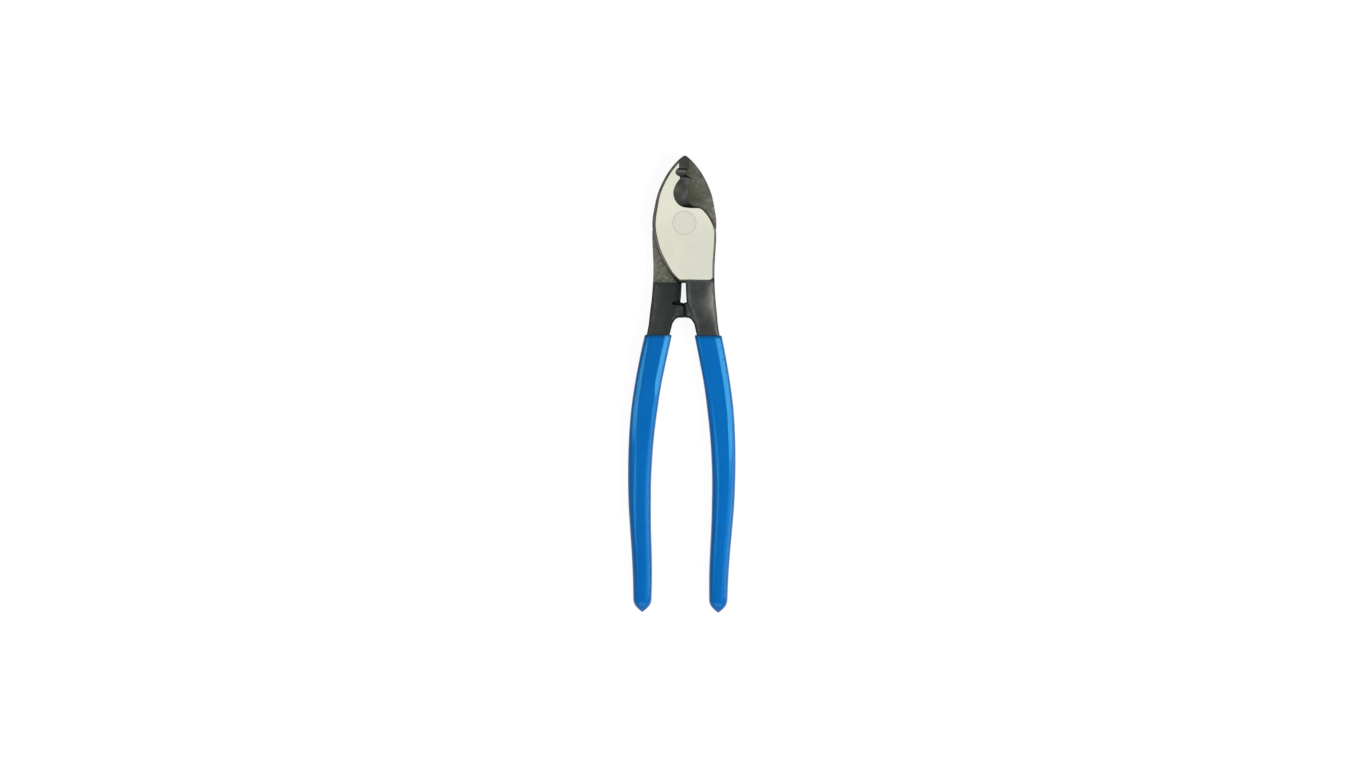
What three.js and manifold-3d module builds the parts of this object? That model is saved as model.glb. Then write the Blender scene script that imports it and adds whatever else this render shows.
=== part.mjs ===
// Hand cable cutter: two equal drop-forged levers lapped on a flush rivet, with hooked
// shearing jaws, stop lugs and dipped vinyl grips. Millimetres, +Z up. The tool lies flat:
// the rivet's axis is Z, its lower end is the origin, and the jaws point along +Y.
import * as THREE from "three";
import { mergeVertices } from "three/addons/utils/BufferGeometryUtils.js";
import Module from "manifold-3d";

const wasm = await Module();
wasm.setup();

// Heights, from the plane where the two levers slide on each other.
const landHalf = 5.8; // to the ground land on the outer face
const shankStep = 0.6; // the land stands this far above the forged shank
const lugStep = 0.8; // the stop lugs lie this far below the shank
const lapGap = 0.1; // oil film and running play between the two joint faces

// Outlines in plan, as [x, y] with the pivot at 0, 0 and the jaws up the page.
const tip = [0, 35.5];
const headSide = [
  [3.9, 32.1],
  [9.1, 25.4],
  [13.6, 16],
  [15.7, 6.6],
  [16.4, -2],
  [16.5, -9],
  [16, -20],
];
const cheek = [
  [-16.2, 1.5],
  [-15.9, -3.5],
  [-14.7, -9.5],
  [-12.6, -16],
  [-7.6, -25.2],
  [-5, -28.8],
];
const plateFoot = -31; // lower edge of the plate that laps the other lever
const footCorner = 2.6; // where the plate's lower edge turns up into the cheek
const rimWidth = 1.4; // forged slope from the outline in to the land
const rimDrop = 1.2;

// The grind runs from the cutting edge on the joint face out to its border on the land.
const noseEdge = [2.1, 29.3];
const noseBorder = [-2.9, 29.3];
const toothEdge = [3.5, 23.6];
const toothBorder = [-2.4, 23.2];
const hookEdge = [
  [1.6, 20.4],
  [1.3, 16],
  [1.7, 12.4],
  [3.6, 10],
  [6.6, 9.1],
];
const hookBorder = [
  [-4.1, 20.2],
  [-5.5, 16],
  [-4.3, 11.7],
  [-1.2, 8.7],
  [3, 7.8],
];
const heelEdge = [
  [9.2, 8.5],
  [12, 6],
  [14.2, 2.9],
  [16.1, -1.5],
  [17.4, -8],
];
const heelBorder = [
  [8, 7.5],
  [10.9, 5.3],
  [13.1, 2.3],
  [15, -2],
  [16.1, -8],
];
const notchRadius = 2;
const notchHeight = 26.7; // along the jaw
const notchDepth = 1.8; // into the land, in plan

// Steel of shank and handle, as [distance below the pivot, inner edge, outer edge].
const steelEdges = [
  [25, 1.05, 15.95],
  [32, 1.05, 16.1],
  [40, 1.5, 16.6],
  [43, 2.2, 16.9],
  [47, 3.9, 17.45],
  [56, 6.5, 18.5],
  [72, 9.7, 21.9],
  [85, 12.2, 24.1],
  [98, 14.1, 25.75],
  [110, 15.5, 26.8],
  [122, 16.5, 27.3],
  [135, 17, 27.4],
  [148, 17, 26.75],
  [160, 16.7, 25.9],
  [173, 16.2, 24.8],
  [185, 15.95, 24],
  [196, 15.95, 23.85],
];
const steelCorner = 2; // radius along the edges of shank and handle
const steelNose = 0.25; // share of the section lost at the handle's rounded end
const shoulderGap = 0.4; // between the plate's foot and the other lever's shoulder

// Stop lugs: a slot runs down to them from the shoulders, and an arch opens below them.
const slotLength = 10.6;
const lugLength = 7.4;
const lugCorner = 0.8;
const stopGap = 0.3; // left between the two lugs when the jaws are shut
const seamShift = 0.4; // the rear lug is dressed less than the front one, so their seam is off centre
const archSide = [
  [3.6, 0.9],
  [5.6, 3.8],
  [6.6, 7.2],
]; // [x, distance below the lugs]

const slitReach = 6; // from the tool's axis
const slitWidth = 1.3;
const slitDepth = 2;
const slitDrop = 0.8; // how far the slit falls towards the axis

// Vinyl grips.
const bareShank = 2.2; // steel left bare between the arch and the grips
const gripEnd = 204.5; // distance below the pivot
const gripTip = 6.5; // solid vinyl below the end of the steel
const gripPoint = 0.94; // share of the section that the pointed tip loses
const gripOgive = 1.75; // power of the tip's curve: 1 is a cone, more is rounder
const gripWall = 0.8;
const gripFit = 0.1; // between the vinyl and the steel
const gripLip = 0.4; // rounding of the upper rim
const gripCorner = 2.2; // radius that the vinyl adds to the steel's own

// Rivet.
const rivetRadius = 4.5;
const rivetHeadRadius = 6.1;
const rivetHeadDepth = 1.8;
const rivetFit = 0.1;
const rivetSides = 48;

// Facets.
const cornerSteps = 4; // in each rounded corner of a section
const shankPitch = 4; // between sections along the shank
const corePitch = 12;
const gripPitch = 9;
const closingSteps = 5; // in the rounded or pointed end of a handle
const past = 1; // how far a cutter reaches past what it cuts

// Places that follow from the sizes above, as distances below the pivot.
const shoulder = shoulderGap - plateFoot;
const lugTop = shoulder + slotLength;
const lugFoot = lugTop + lugLength;
const archFoot = lugFoot + archSide.at(-1)[1];
const gripTop = archFoot + bareShank;
const steelEnd = gripEnd - gripTip;

const shankHalf = landHalf - shankStep;
const coreHalf = landHalf - gripWall - gripFit; // the grips finish level with the lands

function solid(geometry) {
  const bare = geometry.clone();
  bare.deleteAttribute("normal");
  bare.deleteAttribute("uv");
  const merged = mergeVertices(bare, 1e-5);
  return new wasm.Manifold(
    new wasm.Mesh({
      numProp: 3,
      vertProperties: merged.attributes.position.array,
      triVerts: new Uint32Array(merged.index.array),
    }),
  );
}

function geometryOf(made) {
  const mesh = made.getMesh();
  const geometry = new THREE.BufferGeometry();
  geometry.setAttribute("position", new THREE.BufferAttribute(mesh.vertProperties, 3));
  geometry.setIndex(new THREE.BufferAttribute(mesh.triVerts, 1));
  return geometry;
}

function points(list) {
  return list.map(([x, y]) => new THREE.Vector2(x, y));
}

// A closed body through level outlines with equal numbers of points, lowest first.
function loft(outlines, heights) {
  const count = outlines[0].length;
  const position = outlines.flatMap((outline, i) => outline.flatMap((p) => [p.x, p.y, heights[i]]));
  const index = [];
  for (let start = 0; start < position.length / 3 - count; start += count) {
    for (let i = 0; i < count; i++) {
      const next = (i + 1) % count;
      index.push(start + i, start + next, start + count + next);
      index.push(start + i, start + count + next, start + count + i);
    }
  }
  const last = position.length / 3 - count;
  for (const [a, b, c] of THREE.ShapeUtils.triangulateShape(outlines[0], [])) {
    index.push(a, c, b);
  }
  for (const [a, b, c] of THREE.ShapeUtils.triangulateShape(outlines.at(-1), [])) {
    index.push(last + a, last + b, last + c);
  }
  const geometry = new THREE.BufferGeometry();
  geometry.setAttribute("position", new THREE.Float32BufferAttribute(position, 3));
  geometry.setIndex(index);
  return geometry;
}

function box(low, high) {
  const size = high.map((value, i) => value - low[i]);
  const middle = high.map((value, i) => (value + low[i]) / 2);
  return solid(new THREE.BoxGeometry(...size).translate(...middle));
}

function rounded(halfWidth, halfHeight, radius) {
  const r = Math.min(radius, halfWidth * 0.95, halfHeight * 0.95);
  const corners = [
    [1, 1],
    [-1, 1],
    [-1, -1],
    [1, -1],
  ];
  return corners.flatMap(([sideX, sideY], quarter) =>
    Array.from({ length: cornerSteps + 1 }, (_, i) => {
      const turn = (quarter + i / cornerSteps) * (Math.PI / 2);
      return new THREE.Vector2(
        sideX * (halfWidth - r) + r * Math.cos(turn),
        sideY * (halfHeight - r) + r * Math.sin(turn),
      );
    }),
  );
}

// Control points of a closed outline, moved inwards square to its edges.
function inset(outline, width) {
  const corners = points(outline);
  return corners.map((corner, i) => {
    const into = corner.clone().sub(corners.at(i - 1)).normalize();
    const away = corners[(i + 1) % corners.length].clone().sub(corner).normalize();
    const mitre = into.clone().add(away).divideScalar(1 + into.dot(away));
    return corner.add(new THREE.Vector2(-mitre.y, mitre.x).multiplyScalar(width));
  });
}

// The plate that carries the jaw: the whole head's outline but for the open cheek.
function headPlate() {
  const right = [...headSide].reverse();
  const left = headSide.slice(0, 4).map(([x, y]) => [-x, y]);
  const foot = [right[0][0], plateFoot];
  const controls = [foot, ...right, tip, ...left, ...cheek, [-footCorner, plateFoot]];
  const outline = (width) => {
    const moved = inset(controls, width);
    const path = new THREE.Path();
    path.moveTo(moved[0].x, moved[0].y);
    path.splineThru(moved.slice(1, right.length + 2));
    path.splineThru(moved.slice(right.length + 2));
    return path.getPoints(4);
  };
  return solid(loft([outline(0), outline(0), outline(rimWidth)], [0, landHalf - rimDrop, landHalf]));
}

// The open mouth: a body whose side is the ground bevel from cutting edge to land.
function mouth() {
  const outline = (nose, tooth, hook, heel) => {
    const beyond = heel.at(-1)[0] + tip[1];
    const path = new THREE.Path();
    path.moveTo(nose[0], tip[1] + past);
    path.lineTo(...nose);
    path.lineTo(...tooth);
    path.splineThru(points([...hook, ...heel]));
    path.lineTo(beyond, heel.at(-1)[1]);
    path.lineTo(beyond, tip[1] + past);
    return path.getPoints(4);
  };
  const edge = outline(noseEdge, toothEdge, hookEdge, heelEdge);
  const border = outline(noseBorder, toothBorder, hookBorder, heelBorder);
  const heights = [-past, landHalf + past];
  const levels = heights.map((z) => edge.map((p, i) => p.clone().lerp(border[i], z / landHalf)));
  return solid(loft(levels, heights));
}

// The round notch lies along the slope of the grind.
function notch() {
  const border = new THREE.Vector3((noseBorder[0] + toothBorder[0]) / 2, notchHeight, landHalf);
  const edge = new THREE.Vector3((noseEdge[0] + toothEdge[0]) / 2, notchHeight, 0);
  const slope = border.clone().sub(edge);
  const offset = notchRadius * (slope.length() / landHalf) - notchDepth;
  const length = slope.length() + 4 * notchRadius;
  const cutter = new THREE.CylinderGeometry(notchRadius, notchRadius, length, 28);
  const up = new THREE.Vector3(0, 1, 0);
  cutter.applyQuaternion(new THREE.Quaternion().setFromUnitVectors(up, slope.normalize()));
  const middle = border.add(edge).multiplyScalar(0.5);
  return solid(cutter.translate(middle.x + offset, middle.y, middle.z));
}

const steelAt = new THREE.CubicInterpolant(
  steelEdges.map(([down]) => down),
  steelEdges.flatMap(([, inner, outer]) => [inner, outer]),
  2,
);

// Half the thickness of shank and handle, thinning from the shoulder to the grip.
function halfThickness(down) {
  const share = THREE.MathUtils.smoothstep(down, shoulder, gripTop);
  return THREE.MathUtils.lerp(shankHalf, coreHalf, share);
}

// A section across shank or handle, grown outwards by a wall and shrunk by a share.
function section(down, grow, share, corner) {
  const [inner, outer] = steelAt.evaluate(down);
  const halfWidth = ((outer - inner) / 2 + grow) * share;
  const halfHeight = (halfThickness(down) + grow) * share;
  const middle = new THREE.Vector2((inner + outer) / 2, 0);
  return rounded(halfWidth, halfHeight, corner * share).map((p) => p.add(middle));
}

// A body along the handle from stations of [distance below the pivot, grow, share].
function handleBody(stations, corner) {
  const outlines = stations.map(([down, grow, share]) => section(down, grow, share, corner));
  const body = loft(outlines, stations.map(([down]) => down));
  return solid(body.rotateX(Math.PI / 2));
}

function steps(from, to, pitch) {
  const count = Math.max(1, Math.round((to - from) / pitch));
  return Array.from({ length: count + 1 }, (_, i) => from + ((to - from) * i) / count);
}

// Stations that draw a handle's section in towards its end.
function closing(end, length, grow, lost, power) {
  return steps(0, 1, 1 / closingSteps)
    .slice(1)
    .map((u) => [end - (1 - u) * length, grow, 1 - lost * u ** power]);
}

function shankAndCore() {
  const start = shoulder - 2 * steelCorner;
  const run = [
    ...steps(start, gripTop, shankPitch).slice(0, -1),
    ...steps(gripTop, steelEnd - steelCorner, corePitch),
  ];
  const nose = closing(steelEnd, steelCorner, 0, steelNose, 2);
  return handleBody([...run.map((down) => [down, 0, 1]), ...nose], steelCorner);
}

// The lug reaches in from the shank to its face, with a filleted root in the slot.
function stopLug(face) {
  const [inner] = steelAt.evaluate(lugTop);
  const root = steelAt.evaluate(archFoot)[0] + 2 * steelCorner;
  const half = coreHalf - lugStep;
  const shape = new THREE.Shape();
  shape.moveTo(root, -archFoot);
  shape.lineTo(root, lugCorner - lugTop);
  shape.lineTo(inner, lugCorner - lugTop);
  shape.quadraticCurveTo(inner, -lugTop, inner - lugCorner, -lugTop);
  shape.lineTo(face + lugCorner, -lugTop);
  shape.quadraticCurveTo(face, -lugTop, face, -lugTop - lugCorner);
  shape.lineTo(face, -lugFoot);
  shape.lineTo(archSide[0][0] - 2 * lugCorner, -lugFoot);
  shape.splineThru(points(archSide.map(([x, below]) => [x, -lugFoot - below])));
  shape.closePath();
  const settings = { depth: 2 * half, curveSegments: 4, bevelEnabled: false };
  return solid(new THREE.ExtrudeGeometry(shape, settings).translate(0, 0, -half));
}

// A shallow slit in the joint-side face above the lug.
function reliefSlit() {
  const shape = new THREE.Shape();
  shape.moveTo(-past, -lugTop - slitDrop);
  shape.lineTo(slitReach, -lugTop);
  shape.lineTo(slitReach, -lugTop + slitWidth);
  shape.lineTo(-past, -lugTop + slitWidth - slitDrop);
  shape.closePath();
  const slit = new THREE.ExtrudeGeometry(shape, { depth: slitDepth + past, bevelEnabled: false });
  return solid(slit.translate(0, 0, -halfThickness(lugTop) - past));
}

// Turned outline of the rivet, or of its hole when a gap is left around it.
function rivetBody(gap, endHeight) {
  const shaft = rivetRadius + gap;
  const head = rivetHeadRadius + gap;
  const slope = (rivetHeadRadius - rivetRadius) / rivetHeadDepth;
  const neck = landHalf - rivetHeadDepth;
  const rim = head + slope * (endHeight - landHalf);
  const profile = [
    [0, -endHeight],
    [rim, -endHeight],
    [shaft, -neck],
    [shaft, neck],
    [rim, endHeight],
    [0, endHeight],
  ];
  return solid(new THREE.LatheGeometry(points(profile), rivetSides).rotateX(Math.PI / 2));
}

// One lever with its jaw on -X, its handle on +X and its land on +Z.
function lever(lugFace) {
  const room = headSide.at(-1)[0] + 2 * tip[1];
  const lap = box([-room, -shoulder, -2 * landHalf], [room, room, lapGap / 2]);
  const forging = headPlate().add(shankAndCore()).subtract(lap).add(stopLug(lugFace));
  const ground = forging.subtract(mouth()).subtract(notch());
  return geometryOf(ground.subtract(reliefSlit()).subtract(rivetBody(rivetFit, landHalf + past)));
}

// Dipped sleeve: open at the rim, closed by a pointed drip end.
function grip() {
  const wall = gripFit + gripWall;
  const run = steps(gripTop + gripLip, steelEnd, gripPitch);
  const outside = [[gripTop, wall - gripLip, 1], ...run.map((down) => [down, wall, 1])];
  outside.push(...closing(gripEnd, gripTip, wall, gripPoint, gripOgive));
  const hollow = steps(gripTop - past, steelEnd + gripFit, gripPitch);
  const inside = hollow.map((down) => [down, gripFit, 1]);
  const sleeve = handleBody(outside, steelCorner + gripCorner);
  return geometryOf(sleeve.subtract(handleBody(inside, steelCorner)));
}

const blackSteel = { color: 0x3f4340, roughness: 0.45, metalness: 0.8 };
const groundSteel = { color: 0xd8d7c8, roughness: 0.35, metalness: 0.9 };
const blueVinyl = { color: 0x0067b8, roughness: 0.25, metalness: 0 };

function named(name, geometry, finish) {
  const mesh = new THREE.Mesh(geometry, new THREE.MeshStandardMaterial(finish));
  mesh.name = name;
  return mesh;
}

function half(name, lugFace) {
  const group = new THREE.Group();
  group.add(named(name, lever(lugFace), blackSteel));
  group.add(named(name + "_grip", grip(), blueVinyl));
  return group;
}

const front = half("front_lever", stopGap / 2 + seamShift);
const rear = half("rear_lever", stopGap / 2 - seamShift);
rear.rotation.y = Math.PI; // the same forging turned over about the tool's long axis

const closed = new THREE.Group();
closed.position.z = landHalf;
closed.add(front, rear);
closed.add(named("pivot_rivet", geometryOf(rivetBody(0, landHalf)), groundSteel));

const cutter = new THREE.Group();
cutter.add(closed);

export default cutter;
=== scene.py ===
import math
from functools import partial

import bmesh
import bpy
import numpy as np
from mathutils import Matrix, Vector
from mathutils.bvhtree import BVHTree
from mathutils.geometry import delaunay_2d_cdt
from mathutils.kdtree import KDTree


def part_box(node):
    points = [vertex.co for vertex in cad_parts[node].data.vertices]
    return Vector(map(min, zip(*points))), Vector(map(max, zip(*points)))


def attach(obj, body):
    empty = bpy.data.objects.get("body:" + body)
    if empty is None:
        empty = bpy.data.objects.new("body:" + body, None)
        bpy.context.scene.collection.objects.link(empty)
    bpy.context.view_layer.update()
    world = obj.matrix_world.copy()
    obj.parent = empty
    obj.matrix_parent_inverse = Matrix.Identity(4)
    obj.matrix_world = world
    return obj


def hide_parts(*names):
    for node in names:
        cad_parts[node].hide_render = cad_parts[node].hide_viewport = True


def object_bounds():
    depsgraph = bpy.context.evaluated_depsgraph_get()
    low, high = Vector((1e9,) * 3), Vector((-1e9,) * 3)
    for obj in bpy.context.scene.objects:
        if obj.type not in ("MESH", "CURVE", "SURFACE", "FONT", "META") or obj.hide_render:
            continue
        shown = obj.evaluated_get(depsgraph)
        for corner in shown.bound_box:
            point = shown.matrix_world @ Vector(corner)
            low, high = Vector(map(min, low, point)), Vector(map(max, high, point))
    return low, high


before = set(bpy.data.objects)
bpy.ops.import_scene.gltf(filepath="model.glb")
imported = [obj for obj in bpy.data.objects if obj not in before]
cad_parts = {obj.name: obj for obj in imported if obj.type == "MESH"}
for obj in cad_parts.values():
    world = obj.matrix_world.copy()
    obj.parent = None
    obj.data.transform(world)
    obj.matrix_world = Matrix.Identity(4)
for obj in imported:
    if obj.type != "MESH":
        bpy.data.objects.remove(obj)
cad_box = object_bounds()

# -------- Camera --------
# A long lens straight above the tool, which lies a little off square to the view.

VIEW_WIDTH = 0.7135  # metres that the view takes in
VIEW_LEVEL = 0.75  # share of the tool's thickness at which it does
VIEW_MIDDLE = (-0.0014, -0.0845)
LENS = 100
SENSOR = 36
ROLL = 0.0108


def added(name, data):
    """A new object in the scene."""
    new = bpy.data.objects.new(name, data)
    bpy.context.scene.collection.objects.link(new)
    return new


camera = added("camera", bpy.data.cameras.new("camera"))
camera.data.lens = LENS
camera.data.sensor_width = SENSOR
camera.location = (*VIEW_MIDDLE, VIEW_LEVEL * cad_box[1].z + VIEW_WIDTH * LENS / SENSOR)
camera.rotation_euler = (0, 0, ROLL)
bpy.context.scene.camera = camera

# -------- Levers --------
# Two equal drop forgings in carbon steel, one turned over on the other and riveted to it.
# The scale is left on the skin, and grinding has laid bare the flat land, the joint face
# and the blade.
#
# Sizes are in millimetres in the front lever's own frame: the rivet's axis at 0, 0, the
# joint at height 0, the jaw on the left and the handle on the right.

MM = 0.001
rivet_low, rivet_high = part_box("pivot_rivet")
LAND = (rivet_high.z - rivet_low.z) / 2 / MM  # height of the flat land
JOINT_FACE = 0.05  # half the play between the levers
BLADE_EDGE = 0.12  # thickness left at the cutting edge

TIP = (0, 35.85)
HEAD_SIDE = [  # down the right side of the head
    (4.15, 32.3), (9.35, 25.55), (13.85, 16.1), (16, 6.7), (16.7, -2), (16.75, -9), (16.15, -20),
]
JAW_SIDE = HEAD_SIDE[:4]  # which the left side mirrors, above the cheek
CHEEK = [(-16.75, 1.5), (-16.6, -3.5), (-15.2, -9.5), (-13.05, -16), (-8.05, -25.2), (-5.2, -28.9)]
PLATE_FOOT = (-2.6, -31.4)
INNER_EDGE = [
    (1.05, -27), (1.05, -32), (1.5, -40), (2.2, -43), (3.9, -47), (6.5, -56), (9.7, -72),
    (12.2, -85), (14.1, -98), (15.5, -110), (16.5, -122), (17, -135), (17, -148),
    (16.7, -160), (16.2, -173), (15.95, -185), (15.95, -198),
]
OUTER_EDGE = [
    (16.05, -25), (16.2, -32), (16.75, -40), (17.55, -47), (18.6, -56), (21.9, -72),
    (24.1, -85), (25.75, -98), (26.8, -110), (27.3, -122), (27.4, -135), (26.75, -148),
    (25.9, -160), (24.8, -173), (24, -185), (23.85, -198),
]
SHANK_START = -25  # inside the head
SHOULDER = -31.4  # where the joint face ends
SHOULDER_ENDS = (0.5, 17)

# The lug that stops the other lever, with the arch between the shanks under it.
LUG_TOP = -41.8
LUG_FOOT = -49.6
LUG_CORNER = [(5, 1.1), (1.8, 0.9), (1.6, 0.3), (1.1, 0)]  # each height is above the lug's top
ARCH = [(2.6, LUG_FOOT), (4.1, -50.3), (5.9, -53), (6.6, -56.6)]
LUG_END = (9, -57.6)  # inside the steel
LUG_LEAN = 0.45  # the seam between the two lugs runs askew by this much each way
SEAM_BEND = 2  # below the lug's top
SEAM_SHIFT = 0.4  # off the middle, to the right
STOP_GAP = 0.01

# The slit over the lug, from its open end to its closed one.
SLIT_LOW = [(0, -43.8), (6, -42.9)]
SLIT_HIGH = [(0, -41.2), (6, -41.6)]
SLIT_DEPTH = 2.6

# The grind: the same line on the land and at the cutting edge, with a slope between them.
NOSE = {"land": (-3.2, 29.4), "edge": (2.1, 29.3)}
TOOTH = {"land": (-2.5, 23.2), "edge": (3.5, 23.6)}
HOOK = {
    "land": [(-4.7, 20.1), (-6, 16), (-4.95, 11.6), (-1.8, 8.55), (3, 7.7)],
    "edge": [(2.2, 20.4), (1.9, 16), (2.1, 12.2), (3.5, 9.6), (6.6, 8.5)],
}
HEEL = {
    "land": [(8, 7.5), (10.8, 5.3), (13, 2.3), (15, -2), (16.3, -8)],
    "edge": [(8.6, 8), (11.7, 5.8), (14.1, 2.8), (16.1, -1.8), (17.9, -8)],
}
NOTCH_HEIGHT = 26.55
NOTCH_RADIUS = 2.15
GRIND_ABOVE = 2  # how far the line goes on past the tip
GRIND_SHARES = (-0.2, 1.04)  # and the slope past its two lines

RIM_RADIUS = 2.6  # forged edge of the head, which the ground land cuts into
RIM_CROWN = 0.29  # that the skin would stand above the land if nothing were ground
RIGHT_CROWN, RIGHT_RUN = 0.13, (2, 12)  # more on the right, growing over this run
FOOT_CROWN, FOOT_RUN = 0.1, (27, 30)  # less at the foot of the head
LEFT_CROWN, LEFT_RUN, LEFT_BAND = 0.16, (5, 12), (2, 8)  # less on the left, about this height
SHANK_TOP = 5.2
CORE_TOP = 4.9  # inside the grip
GRIP_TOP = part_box("front_lever_grip")[1].y / MM
GRIP_LAP = 5  # how far the visible steel goes on inside the grip
SHANK_RADIUS = 1.8
SLOT_RADIUS = 0.9  # along the side that faces the other lever
CORE_RADIUS = 2.6
SHANK_FALL = 0.9  # of its face towards the outer side
FALL_WIDTH = 6
FALL_END = (48, 60)
DENT_DEPTH = 0.05
DENTS_ACROSS = (1.1, 0.9, 0.5)  # pitch of the waves, sway and pitch of the sway
DENTS_ALONG = (0.7, 0.8, 0.6)
LUG_HALF = (4.5, 5.15)  # on the outer face, and on the joint side
LUG_ROUGH = 0.07
LUG_PITCH = (2.9, 2.3)  # of its roughness, across and along
LUG_RADIUS = 0.7
SHOULDER_RADIUS = 0.7
FILLET = 0.3
BORE_RADIUS = 4.6
SINK_RADIUS = 6.16
SINK_DEPTH = 1.8

PLAN = (-17, 29), (-198, 36)  # that holds the whole lever
FINE = 0.45  # spacing of points along an outline
GRID = 1.1  # and over the open faces
HIDDEN = 2.5  # and inside the grip
EDGE_ROWS = 7  # of points down a rounded edge
GRIND_ROWS = 8  # and down the ground slope
TIP_POINTS = 8  # rounded over, each way from the tip
STEEP = 0.1  # run of a wall that is drawn as part of a face
TOUCH = 1e-4  # points this close are one
FOLD = 0.97  # share of its depth under which an offset line has folded back
FAR = 60  # beyond the head, sideways and up
HIGH = 99  # above anything
CHUNK = 2000  # points measured at a time


def curve(controls, steps=16):
    """Catmull-Rom curve through the controls, with the same steps from each to the next."""
    p = np.array([controls[0], *controls, controls[-1]], float)
    t = np.linspace(0, 1, steps, endpoint=False)[:, None]
    spans = []
    for a, b, c, d in zip(p, p[1:], p[2:], p[3:]):
        cubic = (c - a) * t + (2 * a - 5 * b + 4 * c - d) * t**2 + (3 * b - a - 3 * c + d) * t**3
        spans.append(b + cubic / 2)
    return np.vstack([*spans, p[-1:]])


def resample(line, pitch):
    """The same line with its points a pitch apart."""
    line = np.array(line, float)
    steps = np.linalg.norm(np.diff(line, axis=0), axis=1)
    length = np.concatenate([[0], np.cumsum(steps)])
    at = np.linspace(0, length[-1], max(2, round(length[-1] / pitch) + 1))
    return np.column_stack([np.interp(at, length, side) for side in line.T])


def soften(line, passes):
    """Rounds the corners of a line and leaves its ends where they are."""
    for _ in range(passes):
        line = np.vstack([line[:1], (line[:-2] + 2 * line[1:-1] + line[2:]) / 4, line[-1:]])
    return line


def round_line(radius, middle=(0, 0), start=0.0, turn=2 * math.pi, steps=72):
    """An arc, or a whole circle."""
    at = start + np.linspace(0, turn, steps + 1)
    return np.array(middle) + radius * np.column_stack([np.cos(at), np.sin(at)])


def distance(points, line):
    """From each point to the nearest place on a line."""
    a, span = line[:-1], np.diff(line, axis=0)
    square = np.maximum((span**2).sum(axis=1), 1e-12)
    nearest = []
    for some in np.array_split(points, len(points) // CHUNK + 1):
        to = some[:, None] - a
        along = np.clip((to * span).sum(axis=2) / square, 0, 1)
        gap = to - along[..., None] * span
        nearest.append(np.sqrt((gap**2).sum(axis=2).min(axis=1)))
    return np.concatenate(nearest)


def inside(points, loop):
    """Which points lie within a closed loop."""
    a, b = loop, np.roll(loop, -1, axis=0)
    x, y = points[:, :1], points[:, 1:]
    spans = (a[:, 1] > y) != (b[:, 1] > y)
    rise = np.where(b[:, 1] == a[:, 1], 1, b[:, 1] - a[:, 1])
    meets = a[:, 0] + (b[:, 0] - a[:, 0]) * (y - a[:, 1]) / rise
    return (spans & (x < meets)).sum(axis=1) % 2 == 1


def offset(line, depth):
    """The line moved to its left, without the points that fold back over it."""
    depth = np.broadcast_to(depth, len(line))
    along = np.gradient(line, axis=0)
    along /= np.linalg.norm(along, axis=1)[:, None]
    moved = line + depth[:, None] * np.column_stack([-along[:, 1], along[:, 0]])
    return moved[distance(moved, line) > FOLD * depth]


# Outlines run with the steel on their left.
jaw_side = [(-x, y) for x, y in JAW_SIDE]
left_side = resample(curve([TIP, *jaw_side, *CHEEK, PLATE_FOOT]), FINE)
right_side = resample(curve([TIP, *HEAD_SIDE, *OUTER_EDGE]), FINE)[::-1]
head_right = right_side[right_side[:, 1] > PLATE_FOOT[1] + RIM_RADIUS]
quarter = math.pi / 2
foot_middle = head_right[0] - (RIM_RADIUS, 0)
foot_turn = round_line(RIM_RADIUS, foot_middle, start=-quarter, turn=quarter, steps=9)
foot_run = resample([PLATE_FOOT, foot_turn[0]], FINE)
over_tip = np.vstack([head_right[-TIP_POINTS:], left_side[1 : TIP_POINTS + 1]])
over_tip = soften(over_tip, passes=6)
head_edge = [left_side[TIP_POINTS:], foot_run[1:], foot_turn[1:-1], head_right[:-TIP_POINTS]]
head_edge = np.vstack([*head_edge, over_tip])

inner_side = resample(curve(INNER_EDGE), FINE)
inner_shown = inner_side[inner_side[:, 1] > GRIP_TOP - GRIP_LAP]
inner_hidden = resample(inner_side[len(inner_shown) - 1 :], HIDDEN)
outer_shown = right_side[right_side[:, 1] < SHANK_START]
outer_shown = outer_shown[outer_shown[:, 1] > GRIP_TOP - GRIP_LAP]
outer_hidden = resample(right_side[right_side[:, 1] <= outer_shown[0][1]], HIDDEN)
handle_end = resample([inner_hidden[-1], outer_hidden[0]], HIDDEN)
shank_edge = [inner_shown, inner_hidden[1:], handle_end[1:], outer_hidden[1:], outer_shown[1:]]
shank_edge = np.vstack(shank_edge)


def side_gaps(points):
    """How far in each point is from the shank's inner side and from its outer one."""
    x, y = points.T
    inner = x - np.interp(y, inner_side[::-1, 1], inner_side[::-1, 0])
    outer = np.interp(y, right_side[:, 1], right_side[:, 0]) - x
    return inner, outer


def lug_edge(face, lean):
    """From the slot down the face of the lug and round the arch into the shank."""
    corner = [(x, LUG_TOP + above) for x, above in LUG_CORNER]
    seam = [(face - lean, LUG_TOP), (face, LUG_TOP - SEAM_BEND), (face + lean, LUG_FOOT)]
    return soften(resample([*corner, *seam, *ARCH, LUG_END], FINE / 2), passes=5)


def mouth_line(level):
    """The grind's line at one level, from above the tip down to past the heel."""
    nose, tooth = np.array(NOSE[level], float), np.array(TOOTH[level], float)
    share = (NOTCH_HEIGHT - nose[1]) / (tooth[1] - nose[1])
    middle = nose + (tooth - nose) * share
    notch = round_line(NOTCH_RADIUS, middle, start=quarter, turn=math.pi, steps=20)
    above = np.linspace((nose[0], TIP[1] + GRIND_ABOVE), nose, num=17)
    below = np.linspace(notch[-1], tooth, num=6)[1:-1]
    hook = curve([tooth, *HOOK[level], *HEEL[level]], steps=12)
    return soften(np.vstack([above, notch, below, hook]), passes=3)


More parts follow.
